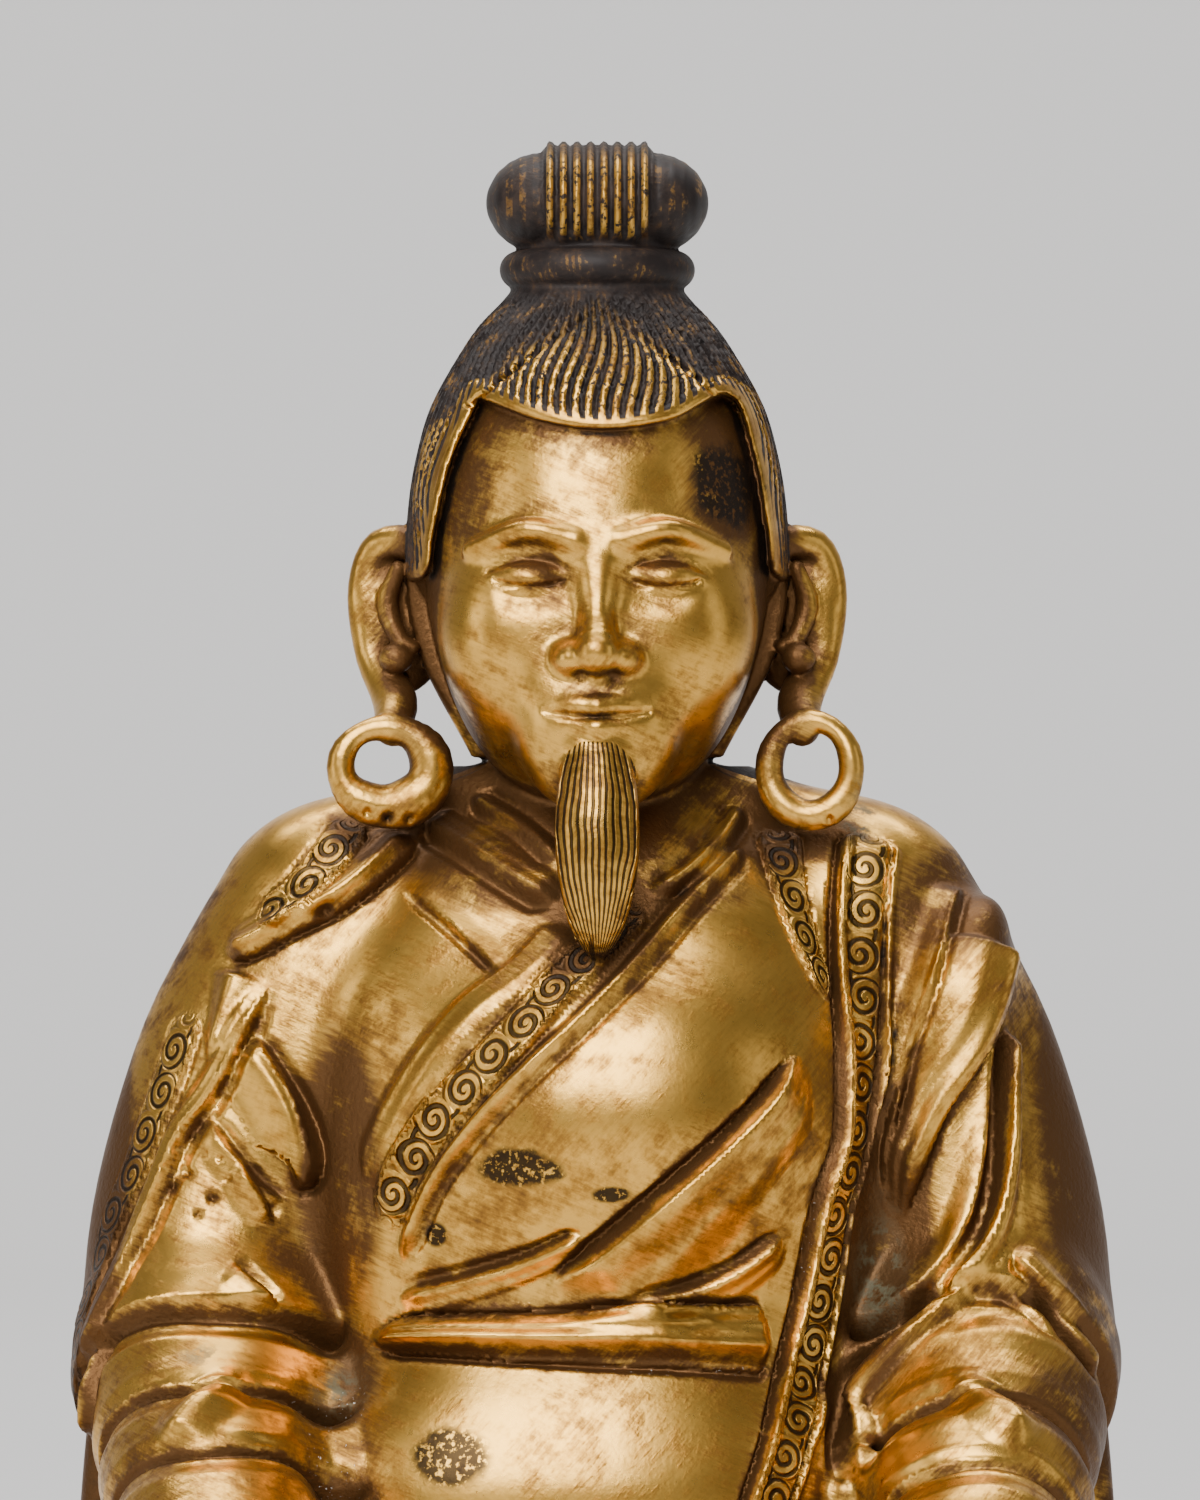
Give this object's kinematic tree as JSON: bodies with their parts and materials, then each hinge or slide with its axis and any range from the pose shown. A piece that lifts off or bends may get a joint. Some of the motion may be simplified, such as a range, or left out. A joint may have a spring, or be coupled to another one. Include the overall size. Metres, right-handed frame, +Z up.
{
  "type": "seated buddhist statue",
  "caption": "Seated Buddhist teacher in gilt copper with topknot, long ears with hoops, goatee and layered robes, hands on the knees, on a low lotus seat.",
  "frame": {"origin": "middle of the lotus seat's flat underside, on the surface that the statue stands on", "axes": "+Z up, the figure faces -Y, +X to the right as seen from the front"},
  "size_m": [0.152, 0.104, 0.2144],
  "materials": {
    "gilt_copper": "worn antique gilding, brown patina in the hollows",
    "gilt_copper_seat": "worn antique gilding, darker than the figure"
  },
  "bodies": {
    "root": {"seated_figure": "gilt_copper", "lotus_seat": "gilt_copper_seat"}
  },
  "joints": []
}
